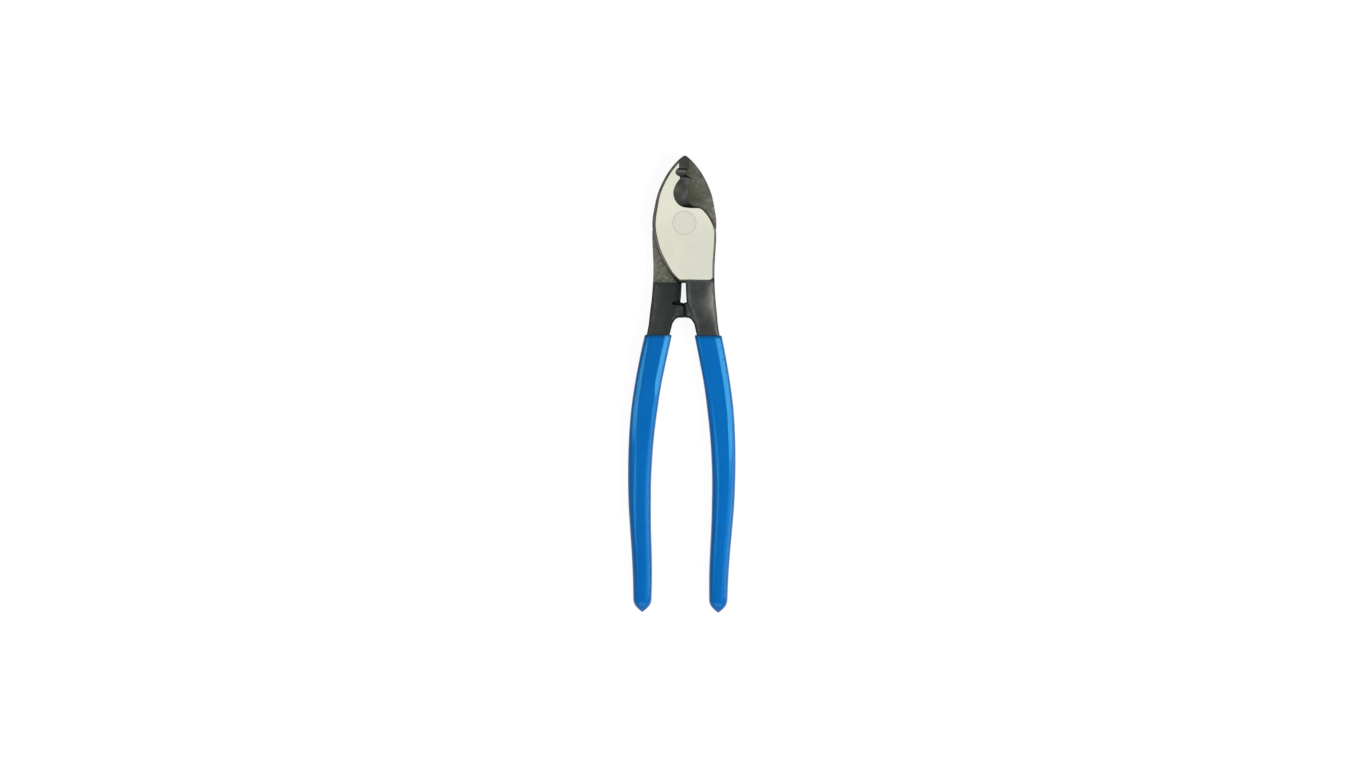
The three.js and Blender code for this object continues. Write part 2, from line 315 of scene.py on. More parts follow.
mouth_land, mouth_edge = mouth_line("land"), mouth_line("edge")


def grind_line(share):
    """The ground slope's contour at one share of the way down from land to edge."""
    return mouth_land + (mouth_edge - mouth_land) * share


def grind_tree(shares):
    """The ground slope as a surface that rays can meet."""
    n = len(mouth_land)
    rows = [np.column_stack([grind_line(s), np.full(n, LAND * (1 - s))]) for s in shares]
    strips = range(0, n * (len(rows) - 1), n)
    quads = [(s + i, s + i + 1, s + n + i + 1, s + n + i) for s in strips for i in range(n - 1)]
    return BVHTree.FromPolygons(np.vstack(rows).tolist(), quads)


grind = grind_tree(np.linspace(*GRIND_SHARES, num=7))
blade_edge = grind_line(1 - (JOINT_FACE + BLADE_EDGE) / LAND)
open_mouth = [blade_edge, (FAR, blade_edge[-1][1]), (FAR, FAR), (blade_edge[0][0], FAR)]
open_mouth = np.vstack(open_mouth)


def grind_height(points):
    """Height of the ground slope, or far above it where there is none."""
    hits = [grind.ray_cast((x, y, HIGH), (0, 0, -1))[0] for x, y in points]
    return np.array([hit.z if hit else HIGH for hit in hits])


def edge_rise(depth, radius):
    """How far a rounded edge has risen at a depth in from the outline."""
    return np.sqrt(radius**2 - (radius - np.clip(depth, 0, radius)) ** 2)


def ease(x, low, high):
    """0 below low, 1 above high, and smooth between them."""
    t = np.clip((x - low) / (high - low), 0, 1)
    return t * t * (3 - 2 * t)


def stretch(x, comes, goes):
    """1 from where a thing comes in to where it goes, and 0 outside."""
    return ease(x, *comes) * (1 - ease(x, *goes))


def band(x, middle, spread):
    """1 on a line and nothing well away from it."""
    return np.exp(-(((x - middle) / spread) ** 2) / 2)


def between(a, b, share):
    """From the first value to the second by a share."""
    return a + (b - a) * share


def join(a, b):
    """The higher of two surfaces, with a small fillet where they meet."""
    return np.maximum(a, b) + np.maximum(FILLET - np.abs(a - b), 0) ** 2 / (4 * FILLET)


def body(points, edge, high):
    """A height inside an outline, and nothing outside it."""
    held = inside(points, edge) | (distance(points, edge) < TOUCH)
    return np.where(held, high, -HIGH)


def head_crown(points):
    """How far the head's skin would stand above the land if nothing were ground."""
    x, y = points.T
    left = LEFT_CROWN * band(y, *LEFT_BAND) * ease(-x, *LEFT_RUN)
    return RIM_CROWN + RIGHT_CROWN * ease(x, *RIGHT_RUN) - FOOT_CROWN * ease(-y, *FOOT_RUN) - left


def head_height(points):
    """The head as forged."""
    rise = edge_rise(distance(points, head_edge), RIM_RADIUS)
    return body(points, head_edge, LAND + head_crown(points) - RIM_RADIUS + rise)


def waves(x, y, pitch, sway, sway_pitch):
    """Waves along x that sway as y grows."""
    return np.sin(pitch * x + sway * np.sin(sway_pitch * y))


def dents(x, y):
    """Shallow waves that the die left, some millimetres long."""
    return DENT_DEPTH * waves(x, y, *DENTS_ACROSS) * waves(y, x, *DENTS_ALONG)


def shank_height(points):
    """Half the thickness of shank and handle."""
    x, y = points.T
    top = between(SHANK_TOP, CORE_TOP, ease(-y, -SHOULDER, -GRIP_TOP))
    inner, outer = side_gaps(points)
    radius = np.where(inner < outer, SLOT_RADIUS, SHANK_RADIUS)
    radius = between(radius, CORE_RADIUS, ease(-y, -GRIP_TOP, GRIP_LAP - GRIP_TOP))
    fall = SHANK_FALL * np.clip(1 - outer / FALL_WIDTH, 0, 1) ** 2 * (1 - ease(-y, *FALL_END))
    rise = edge_rise(distance(points, shank_edge), radius)
    return body(points, shank_edge, top - fall + dents(x, y) - radius + rise)


def lug_height(points, edge, half):
    """The lug on one side, rough from the die."""
    x, y = points.T
    across, along = LUG_PITCH
    rough = LUG_ROUGH * np.sin(across * x + y) * np.sin(along * y - x)
    rise = edge_rise(distance(points, edge), LUG_RADIUS)
    return body(points, edge, half + rough - LUG_RADIUS + rise)


def slit_share(points):
    """0 outside the slit, 1 on its floor."""
    x, y = points.T
    low, high = [np.interp(x, *zip(*side)) for side in (SLIT_LOW, SLIT_HIGH)]
    inward = np.min([y - low, high - y, SLIT_LOW[1][0] - x], axis=0)
    return np.clip(inward / STEEP, 0, 1)


def slit_loop(inset):
    """The slit's outline, or its floor's."""
    (x0, low0), (x1, low1) = SLIT_LOW
    (_, high0), (_, high1) = SLIT_HIGH
    end = x1 - inset
    corners = [(x0, low0 + inset), (end, low1 + inset), (end, high1 - inset), (x0, high0 - inset)]
    return resample([*corners, corners[0]], FINE)


FORGED, JOINT = 0, 4  # places in the list of finishes, with the land, grind and sink between


def outer_face(points, shank, stop):
    """Height of the face with the land, and which finish each point has."""
    skin = join(join(head_height(points), shank), stop)
    round_bore = np.hypot(*points.T)
    sink = LAND - (SINK_RADIUS - round_bore) * SINK_DEPTH / (SINK_RADIUS - BORE_RADIUS)
    sink = np.where(round_bore < SINK_RADIUS, sink, HIGH)
    faces = np.stack([skin, np.full(len(points), LAND), grind_height(points), sink])
    return np.maximum(faces.min(axis=0), JOINT_FACE + BLADE_EDGE), faces.argmin(axis=0)


def joint_side(points, shank, stop):
    """Height of the face that laps the other lever, and which finish each point has."""
    below = SHOULDER - points[:, 1]
    shank = shank - SHOULDER_RADIUS + edge_rise(below, SHOULDER_RADIUS)
    skin = join(shank, stop) - SLIT_DEPTH * slit_share(points)
    high = JOINT_FACE - (skin + JOINT_FACE) * np.clip(below / STEEP, 0, 1)
    return high, np.where(below > 0, FORGED, JOINT)


def plan_grid():
    """Points over the whole plan, in staggered rows, and thinner inside the grip."""
    x, y = np.meshgrid(*[np.arange(low, high, GRID) for low, high in PLAN])
    x += GRID / 2 * (np.arange(len(x)) % 2)[:, None]
    grid = np.column_stack([x.ravel(), y.ravel()])
    every_third = np.arange(len(grid)) % 3 == 0
    return grid[(grid[:, 1] > GRIP_TOP - GRIP_LAP) | every_third]


def lever_plan(lug):
    """Triangles over the lever's plan, with edges along every line of both its faces."""
    rims = {RIM_RADIUS: head_edge, SHANK_RADIUS: shank_edge, LUG_RADIUS: lug}
    cut = RIM_RADIUS - head_crown(head_edge)
    ground_rim = offset(head_edge, RIM_RADIUS - np.sqrt(RIM_RADIUS**2 - cut**2))
    lines = [*rims.values(), mouth_land, blade_edge, ground_rim]
    for level in (SHOULDER, SHOULDER - STEEP):
        lines.append(resample([(x, level) for x in SHOULDER_ENDS], FINE))
    lines += [slit_loop(0), slit_loop(STEEP), round_line(BORE_RADIUS), round_line(SINK_RADIUS)]
    loose = []
    for radius, edge in rims.items():
        for angle in np.linspace(0, quarter, EDGE_ROWS + 1)[1:]:
            loose.append(offset(edge, radius * (1 - math.cos(angle))))
    for share in np.linspace(0, 1, GRIND_ROWS + 1)[1:-1]:
        loose.append(grind_line(share)[::2])
    grid = plan_grid()
    drawn = np.vstack([*lines, *loose])
    tree = KDTree(len(drawn))
    for i, (x, y) in enumerate(drawn):
        tree.insert((x, y, 0), i)
    tree.balance()
    clear = [tree.find((x, y, 0))[2] > GRID / 2 for x, y in grid]
    points = np.vstack([drawn, grid[clear]])
    edges, start = [], 0
    for line in lines:
        edges += [(start + i, start + i + 1) for i in range(len(line) - 1)]
        start += len(line)
    plan = delaunay_2d_cdt([Vector(p) for p in points], edges, [], 0, TOUCH, False)
    corners = np.array([tuple(v) for v in plan[0]])
    faces = np.array([f for f in plan[2] if len(f) == 3])
    middles = corners[faces].mean(axis=1)
    steel = inside(middles, head_edge) | inside(middles, shank_edge) | inside(middles, lug)
    steel &= ~inside(middles, open_mouth) & (np.hypot(*middles.T) > BORE_RADIUS)
    return corners, faces[steel], middles[steel]


# Wear, as the share of the scale that is gone, with painted highlights and painted shade carried
# in the same value. A rub is how much, then the middle and the spread of its strip, and several
# rubs are painted highlights. A run is the stretch over which a thing grows, with a second stretch
# where it also fades.
SKIN_WORN = 0.1  # forged skin of the head, and of the shank beside the slot
SLOT_STRIP = 1
SHANK_WORN = 0.07
SHANK_RUB = (0.045, 42, 4)
OUTER_SHEEN = 0.23  # painted highlight where the face falls towards the outer side
OUTER_SHEEN_INSET = 1.2  # from the outer side
OUTER_SHEEN_SPREAD = (2.4, 4.6)
OUTER_SHEEN_WIDENS = (36, 46)
OUTER_SHEEN_RUN = (29, 39), (41, 53)
RIDGE_SHEEN = (0.2, 1.6, 0.3)  # painted highlight along the ridge, in from the slot
RIDGE_LEFT, RIDGE_FADES = 0.6, (49, 55)
EDGE_SHEEN = (0.3, 0.8, 0.5)  # painted highlight along the rounded edge, in from the outer side
ARCH_SHEEN = (0.18, 1.15, 0.25)  # painted highlight along the arch's edge, in from the arch
ARCH_RUN = (46.5, 48.5)
STOP_WORN = 0.07  # on the lug
STOP_ENDS = (0.5, 6)  # in from the shank's side, and to the right
UNDER_SHEEN, UNDER_RUN = 0.065, (4, 17)  # shank on the joint side, with painted sheen growing towards its outer side
# painted highlight along the outer edge of the joint side
UNDER_EDGE_SHEEN = (0.06, 0.8, 0.5)

RIM_SHEEN = (0.5, 0.6, 0.5)  # painted highlight along the rounded rim, in from the head's outline
RIM_FADES = (28, 29.5)
# more painted sheen on the cheek's steep rim
CHEEK_SHEEN = 0.8
CHEEK_RUN = (3, 7), (20, 27)

BLADE_WORN = 0.19
TIP_WORN, TIP_RUN = 0.03, (23, 25)
NOTCH_RUB = (0.26, 26.5, 1.6)
HOOK_RUB = (0.17, 12.5, 2)
HEEL_SPARED, HEEL_RUN = 0.1, (-9.5, -7.5)
# painted reflection: a light streak askew through the hook
STREAK_REFLECTION = (0.4, 0, 0.7)
STREAK_MIDDLE = (1, 16)
STREAK_WAY = (0.504, 0.864)
STREAK_RUN = (-5, -3), (4, 6)

JAW_TONE = 0.14  # joint face of the jaw, and lighter towards its back and its root
JAW_BACK, JAW_BACK_RUN = 0.24, (1, 8)
JAW_ROOT, JAW_ROOT_RUN, JAW_ROOT_FADES = 0.28, (9, 15), (8, 18)
JAW_SHADOW = 0.75, (-4, 12.5), (4, 3.5)  # painted shadow in the jaw: how much, its middle and its spread
HEEL_RUB = (0.2, 1.5, 0.45)  # beside the other lever's heel
HEEL_FADES = (10.5, 12)
RECESS_LIT = (0.77, 0.52)  # painted light on the joint face beside the cheek, where the plate's shadow falls, and the joint face further in
RECESS_RUN = (0, 4)


def rub(x, much, middle, spread):
    """A strip that is rubbed so much along its middle, worn in some uses and a painted highlight
    in others.
    """
    return much * band(x, middle, spread)


def shank_wear_and_sheen(points, lug):
    """On the shank's outer face, and on its joint side, with painted highlights along edges and
    ridges and painted sheen towards the outer side.
    """
    x, down = points[:, 0], -points[:, 1]
    near, far = side_gaps(points)
    by_slot = near < SLOT_STRIP
    arch = rub(distance(points, lug), *ARCH_SHEEN) * ease(down, *ARCH_RUN) * by_slot
    # painted highlights: the outer sheen, the ridge, the rounded edge and the arch
    outer_sheen = rub(far, OUTER_SHEEN, OUTER_SHEEN_INSET, between(*OUTER_SHEEN_SPREAD, ease(down, *OUTER_SHEEN_WIDENS)))
    outer_sheen *= stretch(down, *OUTER_SHEEN_RUN)
    ridge = rub(near, *RIDGE_SHEEN) * between(1, RIDGE_LEFT, ease(down, *RIDGE_FADES))
    outer = np.where(by_slot, SKIN_WORN, SHANK_WORN + rub(down, *SHANK_RUB))
    outer += np.max([outer_sheen, ridge, rub(far, *EDGE_SHEEN), arch], axis=0)
    stop = STOP_WORN * (near < STOP_ENDS[0]) * (x < STOP_ENDS[1])
    under = UNDER_SHEEN * ease(x, *UNDER_RUN) + rub(far, *UNDER_EDGE_SHEEN) + np.maximum(arch, stop)
    return outer, under


def rim_wear_and_sheen(points):
    """On the forged edge of the head, and most at the cheek, as painted sheen."""
    x, down = points[:, 0], -points[:, 1]
    cheek = CHEEK_SHEEN * ease(-x, 0, 2) * stretch(down, *CHEEK_RUN)
    rim = rub(distance(points, head_edge), *RIM_SHEEN) * (1 - ease(down, *RIM_FADES))
    return SKIN_WORN + rim * (1 + cheek)


def blade_wear_and_reflection(points):
    """On the ground slope, with a painted reflection: a streak that runs askew through the hook.
    """
    y = points[:, 1]
    from_streak = points - STREAK_MIDDLE
    across = from_streak @ (STREAK_WAY[1], -STREAK_WAY[0])
    streak = rub(across, *STREAK_REFLECTION) * stretch(from_streak @ STREAK_WAY, *STREAK_RUN)
    ground = BLADE_WORN + TIP_WORN * ease(y, *TIP_RUN) - HEEL_SPARED * ease(-y, *HEEL_RUN)
    return ground + rub(y, *NOTCH_RUB) + rub(y, *HOOK_RUB) + streak


def joint_wear_and_shading(points):
    """On the joint face: the jaw, with a painted shadow by the hook, and the rest of the head
    where the cheek leaves it bare, painted lighter beside the cheek.
    """
    x, y = points.T
    shadowed, middle, spread = JAW_SHADOW
    off = (points - middle) / spread
    jaw = JAW_TONE + JAW_BACK * ease(-x, *JAW_BACK_RUN)
    jaw += JAW_ROOT * ease(-x, *JAW_ROOT_RUN) * (1 - ease(y, *JAW_ROOT_FADES))
    # painted shadow in the jaw, beside the hook
    jaw *= 1 - shadowed * np.exp(-(off**2).sum(axis=1) / 2)
    jaw += rub(distance(points * (-1, 1), mouth_edge), *HEEL_RUB) * (1 - ease(y, *HEEL_FADES))
    beyond = x + np.interp(y, *np.array(CHEEK[::-1])[:, ::-1].T)
    # painted light beside the cheek, against the front plate's shadow
    return np.where(x < 0, jaw, between(*RECESS_LIT, ease(beyond, *RECESS_RUN)))


def wear_and_painted_light(points, lug):
    """How far handling has rubbed each point bright, with painted highlights and shade added, on
    the outer face and the joint side.
    """
    outer, under = shank_wear_and_sheen(points, lug)
    y, head = points[:, 1], joint_wear_and_shading(points)
    upper = np.where(grind_height(points) < LAND, blade_wear_and_reflection(points), rim_wear_and_sheen(points))
    return np.where(y > SHOULDER, upper, outer), np.where(y >= SHOULDER, head, under)


# Painted shade in creases and on steep faces: how far in from a side it starts to thin and where
# it ends.
ARCH_SHADE = (0.4, 1.1)
SEAM_SHADE = (0.45, 0.7)
SEAM_CLEAR = 0.3  # at the foot of the seam
SLOT_SHADE = 0.3
SLOT_CLEAR = (0.9, 4.5)  # above the lug, on the outer face and on the joint side
LOW_SLOT_CLEAR = 1.1
TOOTH_SHADE = (20, 1.95)  # middle and spread of the painted shade under the tooth
TOOTH_RUN = (-8.5, -7)
TOOTH_THINS, TOOTH_THIN_RUN = 0.6, (-0.5, 1.5)
STEEP_SHADE = (0.1, 0.55)  # upright share of a face's normal, from fully painted dark to free of painted shade
HEAD_OPEN, SHANK_OPEN = 0.85, 0.75  # at least, however steep


def crevices(points, lug, clear):
    """0 where shade is painted into creases and under the tooth, and 1 in the open."""
    x, y = points.T
    near, _ = side_gaps(points)
    rim = lug[side_gaps(lug)[0] < 0]
    beside = (y < LUG_TOP) & (y > ARCH[-1][1])
    slot = ease(near, SLOT_SHADE, np.where(y > LUG_TOP, clear, LOW_SLOT_CLEAR))
    by_slot = np.where(beside, ease(distance(points, rim), *ARCH_SHADE), slot)
    by_seam = ease(distance(points, rim[rim[:, 1] > LUG_FOOT + SEAM_CLEAR]), *SEAM_SHADE)
    thinned = 1 - TOOTH_THINS * ease(x, *TOOTH_THIN_RUN)
    by_tooth = 1 - band(y, *TOOTH_SHADE) * ease(x, *TOOTH_RUN) * thinned
    return np.where(y > SHOULDER, by_tooth, np.minimum(by_slot, by_seam))


def unshaded_share(points, lug, level):
    """How far each point is free of painted shade, on both faces; steep faces and creases are
    painted dark.
    """
    near, far = side_gaps(points)
    on_head = points[:, 1] > SHOULDER
    least = np.where(on_head, HEAD_OPEN, SHANK_OPEN * (far < near))
    exposed = np.maximum(ease(level, *STEEP_SHADE), np.tile(least, 2))
    return exposed * np.concatenate([crevices(points, lug, c) for c in SLOT_CLEAR])


def heights(points, lug):
    """Both faces at each point, as (height, finish) of the outer one and of the joint side."""
    shank = shank_height(points)
    outer, joint = [lug_height(points, lug, half) for half in LUG_HALF]
    return outer_face(points, shank, outer), joint_side(points, shank, joint)


def lever_mesh(name, face, turn):
    """One lever as a mesh in the frame; turn is -1 for the one turned over."""
    lug = lug_edge(face, turn * LUG_LEAN)
    plan, faces, middles = lever_plan(lug)
    used, faces = np.unique(faces, return_inverse=True)
    faces, plan = faces.reshape(-1, 3), plan[used]
    n = len(plan)
    (high, _), (low, _) = heights(plan, lug)
    corners = np.vstack([np.column_stack([plan, high]), np.column_stack([plan, low])])
    corners = corners * (turn, 1, turn) * MM + (0, 0, LAND * MM)
    a, b, c = plan[faces].transpose(1, 0, 2)
    left_turn = (b - a)[:, 0] * (c - a)[:, 1] > (b - a)[:, 1] * (c - a)[:, 0]
    faces = np.where(left_turn[:, None], faces, faces[:, ::-1])
    sides = np.vstack([faces[:, [i, (i + 1) % 3]] for i in range(3)])
    pairs = {tuple(side) for side in sides.tolist()}
    rim = [(i, j) for i, j in pairs if (j, i) not in pairs]
    walls = [(i, i + n, j + n, j) for i, j in sorted(rim)]
    mesh = bpy.data.meshes.new(name)
    both = np.vstack([faces, faces[:, ::-1] + n]).tolist()
    mesh.from_pydata(corners.tolist(), [], [*both, *walls])
    # Steep faces and the slit's floor are painted dark as shade.
    level = np.abs([vertex.normal.z for vertex in mesh.vertices])
    level[n:] *= 1 - slit_share(plan)
    carry(mesh, "worn_and_painted_light", np.concatenate(wear_and_painted_light(plan, lug)))
    carry(mesh, "open", unshaded_share(plan, lug, level))
    (_, above), (_, below) = heights(middles, lug)
    return mesh, [*above, *below, *[FORGED] * len(walls)]


def carry(mesh, name, values):
    """Gives each point of a mesh a value of that name."""
    mesh.attributes.new(name, "FLOAT", "POINT").data.foreach_set("value", values)


def material(name, **sockets):
    """A new surface, its node tree, and its shader with the uniform values set."""
    made = bpy.data.materials.new(name)
    made.use_nodes = True
    shader = made.node_tree.nodes["Principled BSDF"]
    for socket, value in sockets.items():
        shader.inputs[socket.replace("_", " ")].default_value = value
    return made, made.node_tree, shader


def feed(tree, socket, value):
    """Links another node's output to a socket, or sets the socket to a plain value."""
    if isinstance(value, bpy.types.NodeSocket):
        tree.links.new(value, socket)
    else:
        socket.default_value = value


def node(tree, kind, *values, settings=None, **named):
    """A node with its settings, and its inputs fed in order or by name."""
    new = tree.nodes.new(kind)
    for key, value in (settings or {}).items():
        setattr(new, key, value)
    for socket, value in zip(new.inputs, values):
        feed(tree, socket, value)
    for key, value in named.items():
        feed(tree, new.inputs[key.replace("_", " ")], value)
    return new


def place(tree, scale=(1, 1, 1)):
    """Object coordinates in metres, stretched by a scale along each axis."""
    where = node(tree, "ShaderNodeTexCoord").outputs["Object"]
    return node(tree, "ShaderNodeMapping", Vector=where, Scale=scale).outputs["Vector"]


def part_of(tree, vector, axis):
    """What a vector says along one axis."""
    return node(tree, "ShaderNodeSeparateXYZ", Vector=vector).outputs[axis]


def noise(tree, scale, detail, roughness, stretched=(1, 1, 1)):
    """A noise of so many patches to the metre."""
    looks = {"Scale": scale, "Detail": detail, "Roughness": roughness}
    return node(tree, "ShaderNodeTexNoise", Vector=place(tree, stretched), **looks).outputs["Fac"]


def shades(tree, factor, *stops):
    """A ramp from place to colour or grey."""
    ramp = node(tree, "ShaderNodeValToRGB", Fac=factor)
    while len(ramp.color_ramp.elements) < len(stops):
        ramp.color_ramp.elements.new(0.5)
    for element, (at, colour) in zip(ramp.color_ramp.elements, stops):
        element.position = at
        element.color = (*colour, 1) if isinstance(colour, tuple) else (*[colour] * 3, 1)
    return ramp.outputs["Color"]


def mixed(tree, factor, a, b):
    """From the first colour to the second by a factor."""
    a, b = [(*colour, 1) if isinstance(colour, tuple) else colour for colour in (a, b)]
    mix = node(tree, "ShaderNodeMix", settings={"data_type": "RGBA"}, Factor=factor, A=a, B=b)
    return mix.outputs["Result"]


def ranged(tree, value, **limits):
    """The value brought from one range to another."""
    return node(tree, "ShaderNodeMapRange", Value=value, **limits).outputs["Result"]


def bumps(tree, height, depth, **under):
    """Turns a height pattern into relief so many millimetres deep."""
    bump = node(tree, "ShaderNodeBump", Height=height, Strength=1.0, Distance=depth * MM, **under)
    return bump.outputs["Normal"]


def carried(tree, name):
    """A value that the mesh carries at each of its points."""
    settings = {"attribute_name": name}
    return node(tree, "ShaderNodeAttribute", settings=settings).outputs["Fac"]


def maths(tree, operation, *values):
    """What a Math node makes of its values."""
    return node(tree, "ShaderNodeMath", *values, settings={"operation": operation}).outputs[0]


def varied(tree, value, *patterns):
    """The value times its patterns, each given with how far it goes either side of 1."""
    for pattern, depth in patterns:
        factor = maths(tree, "MULTIPLY_ADD", pattern, 4 * depth, 1 - 2 * depth)
        value = maths(tree, "MULTIPLY", value, factor)
    return value


def dress(tree, shader, colour, pattern, rough, normal):
    """Feeds a shader its colour, a roughness that follows a pattern, and its relief."""
    feed(tree, shader.inputs["Base Color"], colour)
    roughness = ranged(tree, pattern, To_Min=rough[0], To_Max=rough[1])
    feed(tree, shader.inputs["Roughness"], roughness)
    feed(tree, shader.inputs["Normal"], normal)


SCALE = (0.018, 0.0215, 0.022)
# rubbed steel, also the colour of the painted highlights
RUBBED_AND_SHEEN = (0.2, 0.2, 0.172)
FLECKS = (0.06, 0.063, 0.06)
# painted shade, for creases, the slit and steep faces
PAINTED_SHADE = (0.008, 0.009, 0.009)
SKIN_TINT = (0.25, 0.25, 0.25, 1)
PATCHES = (240, 3, 0.55)  # of a noise: to the metre, detail, roughness
GRAIN = (1300, 3, 0.6)
PATCH_DEPTH = 0.08
GRAIN_DEPTH = 0.03
BY_PATCHES, BY_GRAIN = 0.3, 0.35  # how far the wear varies with each
FLECK_GRAIN = (0.52, 0.0), (0.8, 0.35)  # none up to the first, and at the second so strong
SKIN_ROUGH = (0.38, 0.52)


def forged_skin():
    """Scale from the forge: blue-black, and bare grey where handling has rubbed it, with painted
    highlights and painted shade.
    """
    made, tree, shader = material("forged skin", Metallic=1.0, Specular_Tint=SKIN_TINT)
    patches, grain = noise(tree, *PATCHES), noise(tree, *GRAIN)
    worn_and_painted_light = varied(tree, carried(tree, "worn_and_painted_light"), (patches, BY_PATCHES), (grain, BY_GRAIN))
    # Its bright end also carries the painted highlights.
    steel = mixed(tree, worn_and_painted_light, SCALE, RUBBED_AND_SHEEN)
    steel = mixed(tree, shades(tree, grain, *FLECK_GRAIN), steel, FLECKS)
    # painted shade in creases and on steep faces
    colour = mixed(tree, carried(tree, "open"), PAINTED_SHADE, steel)
    relief = bumps(tree, patches, PATCH_DEPTH, Normal=bumps(tree, grain, GRAIN_DEPTH))
    dress(tree, shader, colour, patches, SKIN_ROUGH, relief)
    return made


BELT = (1, 4, 0.6, (5200, 90, 90))  # lines, stretched along the tool
BELT_DEPTH = 0.004
HAZE_PATCHES = (45, 3, 0.6)
LAND_SHADES = (0.3, (0.65, 0.64, 0.52)), (0.7, (0.72, 0.71, 0.585))
LAND_ROUGH = (0.2, 0.29)
HAZE = (0.635, 0.64, 0.56)
HAZE_SHARE = (0.42, 0.0), (0.56, 0.8)
# land colour towards the tip, lighter
TIPWARD_LAND = (0.8, 0.79, 0.665)
TIPWARD_RUN = 7 * MM  # each side of the rivet's axis
TIPWARD_MOST = 0.5


def ground_land():
    """Bright flat left by a belt that ran along the tool, and brighter towards the tip."""
    made, tree, shader = material("ground land", Metallic=1.0)
    lines = noise(tree, *BELT)
    hazed = shades(tree, noise(tree, *HAZE_PATCHES), *HAZE_SHARE)
    ground = mixed(tree, hazed, shades(tree, lines, *LAND_SHADES), HAZE)
    along = part_of(tree, place(tree), "Y")
    tipward = ranged(tree, along, From_Min=-TIPWARD_RUN, From_Max=TIPWARD_RUN, To_Max=TIPWARD_MOST)
    colour = mixed(tree, tipward, ground, TIPWARD_LAND)
    dress(tree, shader, colour, lines, LAND_ROUGH, bumps(tree, lines, BELT_DEPTH))
    return made


STONE = (1, 4, 0.6, (2600, 160, 2600))
STONE_DEPTH = 0.012
BLADE_CLOUDS = (160, 2, 0.5)
BY_STONE, BY_CLOUDS = 0.3, 0.25
BLADE_ROUGH = (0.3, 0.42)
BLADE_DARK = (0.028, 0.029, 0.026)
# ground steel, also the colour of the painted reflection
BLADE_BARE_AND_SHEEN = (0.1, 0.104, 0.1)
# painted shade under the tooth and on the blade's steep faces
BLADE_SHADE = (0.015, 0.015, 0.013)


def ground_blade():
    """The slope of the blade, ground and then darkened by the hardening, with a painted reflection
    through the hook and painted shade under the tooth.
    """
    made, tree, shader = material("ground blade", Metallic=1.0)
    lines, clouds = noise(tree, *STONE), noise(tree, *BLADE_CLOUDS)
    bare = varied(tree, carried(tree, "worn_and_painted_light"), (lines, BY_STONE), (clouds, BY_CLOUDS))
    ground = mixed(tree, bare, BLADE_DARK, BLADE_BARE_AND_SHEEN)
    colour = mixed(tree, carried(tree, "open"), BLADE_SHADE, ground)
    dress(tree, shader, colour, lines, BLADE_ROUGH, bumps(tree, lines, STONE_DEPTH))
    return made


JOINT_DARK = (0.045, 0.046, 0.034)
JOINT_SHADES = (0.42, (0.16, 0.166, 0.13)), (0.6, (0.178, 0.169, 0.145))
BLOTCHES = (620, 4, 0.65)
STAINS = (300, 3, 0.6)
MARKS = {"Scale": 1700.0, "Detail": 3.0}
MARK_DEPTH = 0.008
BY_BLOTCHES, BY_MARKS = 0.9, 0.2
JOINT_ROUGH = (0.38, 0.55)


def joint_face():
    """Where the levers rub: grey-brown, with marks that run round the rivet, a painted shadow in
    the jaw and painted light beside the cheek.
    """
    made, tree, shader = material("joint face", Metallic=1.0)
    flat = place(tree, (1, 1, 0))
    length = node(tree, "ShaderNodeVectorMath", flat, settings={"operation": "LENGTH"})
    rings = {"settings": {"noise_dimensions": "1D"}, "W": length.outputs["Value"], **MARKS}
    marks = node(tree, "ShaderNodeTexNoise", **rings).outputs["Fac"]
    blotches, stains = noise(tree, *BLOTCHES), noise(tree, *STAINS)
    worn_and_painted_light = varied(tree, carried(tree, "worn_and_painted_light"), (blotches, BY_BLOTCHES), (marks, BY_MARKS))
    colour = mixed(tree, worn_and_painted_light, JOINT_DARK, shades(tree, stains, *JOINT_SHADES))
    dress(tree, shader, colour, blotches, JOINT_ROUGH, bumps(tree, marks, MARK_DEPTH))
    return made


SHARP = math.radians(20)  # least angle of a crease
skin = forged_skin()
finishes = [skin, ground_land(), ground_blade(), skin, joint_face()]


def finish_mesh(mesh):
    """Smooth faces, with a crease wherever two meet sharply."""
    shape = bmesh.new()
    shape.from_mesh(mesh)
    for face in shape.faces:
        face.smooth = True
    for edge in shape.edges:
        edge.smooth = edge.calc_face_angle(0) < SHARP
    shape.to_mesh(mesh)
    shape.free()


def lever(name, face, turn):
    """One lever: where the face of its lug is, and which way up it lies."""
    mesh, kinds = lever_mesh(name, face, turn)
    for finish in finishes:
        mesh.materials.append(finish)
    mesh.polygons.foreach_set("material_index", [int(kind) for kind in kinds])
    finish_mesh(mesh)
    return added(name, mesh)


front_steel = lever("front_lever_steel", STOP_GAP / 2 + SEAM_SHIFT, 1)
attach(front_steel, "front")
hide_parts("front_lever")

rear_steel = lever("rear_lever_steel", STOP_GAP / 2 - SEAM_SHIFT, -1)
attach(rear_steel, "rear")
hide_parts("rear_lever")

# -------- Rivet --------
# A countersunk rivet in mild steel, hammered flush at both ends and ground with the lands,
# so that only a hairline ring of its head shows.

RIVET_RADIUS = 4.5
HEAD_RADIUS = 6.1
HEAD_DEPTH = 1.8
RING_EDGE = 0.05  # broken edge of the head
RIVET_SIDES = 96
RIVET_SHADES = (0.3, (0.61, 0.61, 0.525)), (0.7, (0.67, 0.67, 0.58))
RIVET_LINE_DEPTH = 0.006
RIVET_ROUGH = (0.22, 0.31)
MERGE = 1e-6  # metres, within which points are one


